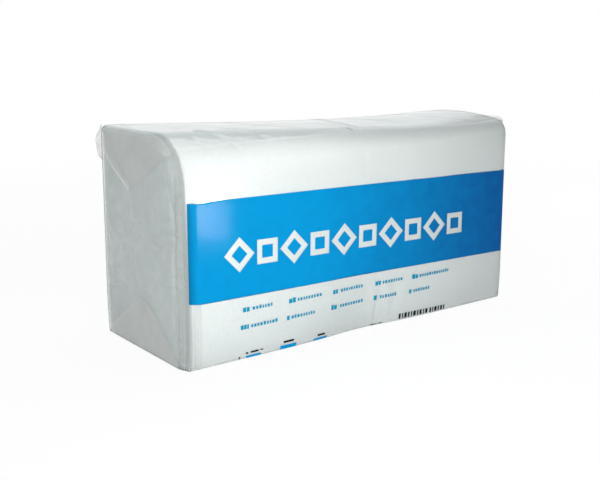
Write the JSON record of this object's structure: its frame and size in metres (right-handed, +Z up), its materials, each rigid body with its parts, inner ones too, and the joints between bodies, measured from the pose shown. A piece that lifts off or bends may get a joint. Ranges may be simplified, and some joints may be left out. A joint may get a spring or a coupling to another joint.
{
  "type": "paper napkin pack",
  "caption": "Folded white paper napkins in two stacks side by side, sealed in a clear film wrap with a blue printed band and folded ends.",
  "frame": {"origin": "middle of the base on the surface that the pack stands on", "axes": "+X along the pack to the right as seen from the printed front, +Y from the printed front to the back, +Z up"},
  "size_m": [0.3328, 0.1264, 0.1664],
  "materials": {
    "film": "clear, glossy, lightly wrinkled",
    "ink": "glossy printed ink",
    "napkins": "soft matt tissue"
  },
  "bodies": {
    "root": {"film_wrap": "film", "printed_band": "ink", "napkin_stack_left": "napkins", "napkin_stack_right": "napkins"}
  },
  "joints": []
}
